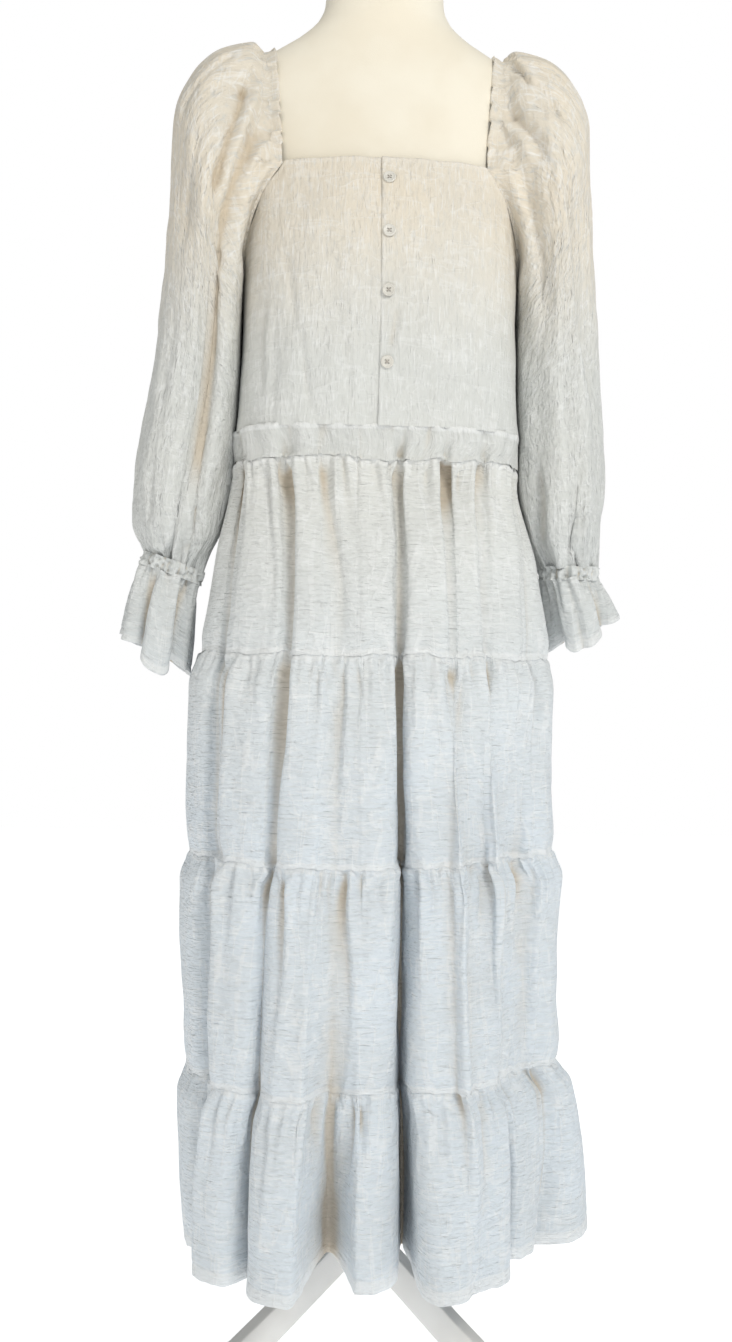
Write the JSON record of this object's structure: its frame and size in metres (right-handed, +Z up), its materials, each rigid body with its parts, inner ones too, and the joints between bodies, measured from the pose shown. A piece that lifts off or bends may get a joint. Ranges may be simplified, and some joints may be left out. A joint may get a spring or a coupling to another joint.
{
  "type": "tiered maxi dress on a dress form with a stand",
  "caption": "White crinkled maxi dress with a square neck, raglan sleeves with ruffled cuffs and a gathered tiered skirt, on a limbless dress form with a tripod stand.",
  "frame": {"origin": "on the floor, in the middle of the box round the whole object", "axes": "+Z up, the dress faces -Y, +X to the viewer's right of the front"},
  "size_m": [0.7182, 0.6407, 1.726],
  "materials": {
    "gauze": "crinkled matt gauze",
    "button_white": "satin",
    "form_cover": "matt knitted cover",
    "stand_paint": "satin paint"
  },
  "bodies": {
    "root": {"bodice_front_left": "gauze", "bodice_front_right": "gauze", "bodice_back": "gauze", "sleeve_left": "gauze", "sleeve_right": "gauze", "wrist_band_left": "gauze", "wrist_band_right": "gauze", "cuff_ruffle_left": "gauze", "cuff_ruffle_right": "gauze", "waistband": "gauze", "skirt_tier_1": "gauze", "skirt_tier_2": "gauze", "skirt_tier_3": "gauze", "skirt_tier_4": "gauze", "button_1": "button_white", "button_2": "button_white", "button_3": "button_white", "button_4": "button_white", "dress_form": "form_cover", "stand_pole": "stand_paint", "stand_hub": "stand_paint", "stand_leg_back": "stand_paint", "stand_leg_left": "stand_paint", "stand_leg_right": "stand_paint"}
  },
  "joints": []
}
